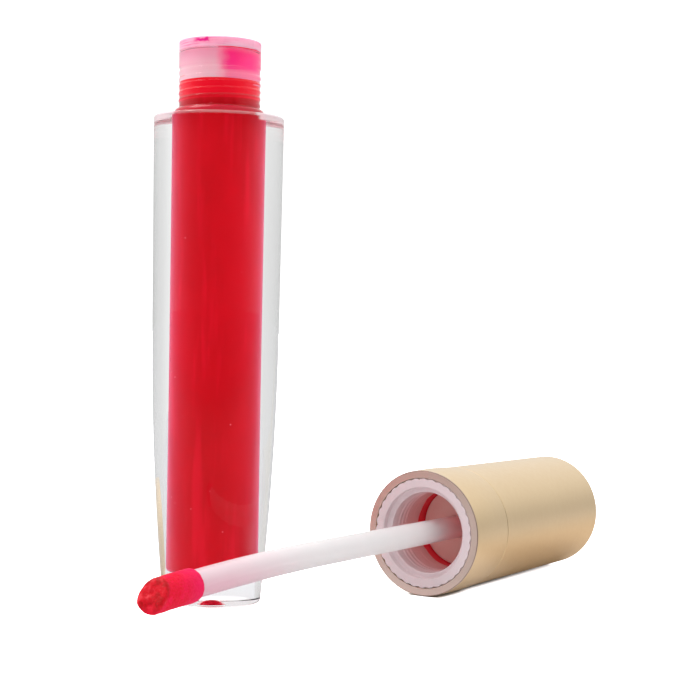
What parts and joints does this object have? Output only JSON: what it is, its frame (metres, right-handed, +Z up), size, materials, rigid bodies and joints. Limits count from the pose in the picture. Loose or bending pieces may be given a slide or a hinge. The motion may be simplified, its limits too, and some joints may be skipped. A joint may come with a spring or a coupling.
{
  "type": "lip gloss tube",
  "caption": "Clear thick-walled lip gloss bottle standing open, full of red gloss, with its satin gold screw cap and flocked wand lying beside it.",
  "frame": {"origin": "centre of the bottle's base, on the surface that the bottle stands on", "axes": "+Z runs up the bottle's axis and out through its neck; the cap and wand lie beside the bottle at +X, along Y, with the wand's tip towards -Y and the cap's closed end towards +Y"},
  "size_m": [0.0438, 0.1133, 0.0858],
  "materials": {
    "clear_plastic": "clear thick-walled polyester, polished",
    "wiper_plastic": "soft translucent polyethylene, smeared with gloss",
    "gloss_liquid": "thick red liquid, wet",
    "gasket_foam": "soft sealing foam, tinted by gloss",
    "gold_shell": "satin champagne gold metallised coating",
    "white_plastic": "moulded white polypropylene",
    "stem_plastic": "milky translucent polypropylene, pink with gloss near the tip",
    "core_plastic": "moulded flexible plastic",
    "flock": "short velvet flock soaked with gloss"
  },
  "bodies": {
    "bottle": {"bottle_body": "clear_plastic", "wiper": "wiper_plastic", "gloss": "gloss_liquid"},
    "gasket": {"cap_gasket": "gasket_foam"},
    "cap": {"cap_shell": "gold_shell", "inner_cap": "white_plastic", "applicator_stem": "stem_plastic", "tip_core": "core_plastic", "flocked_tip": "flock"}
  },
  "joints": [
    {"name": "cap_draw", "type": "slide", "parent": "bottle", "child": "gasket", "axis": [0, 1, 0], "range_m": [0, 0.075]},
    {"name": "cap_turn", "type": "hinge", "parent": "gasket", "child": "cap", "pos_m": [0.0238, 0.0353, 0.01], "axis": [0, 1, 0], "continuous": true}
  ]
}
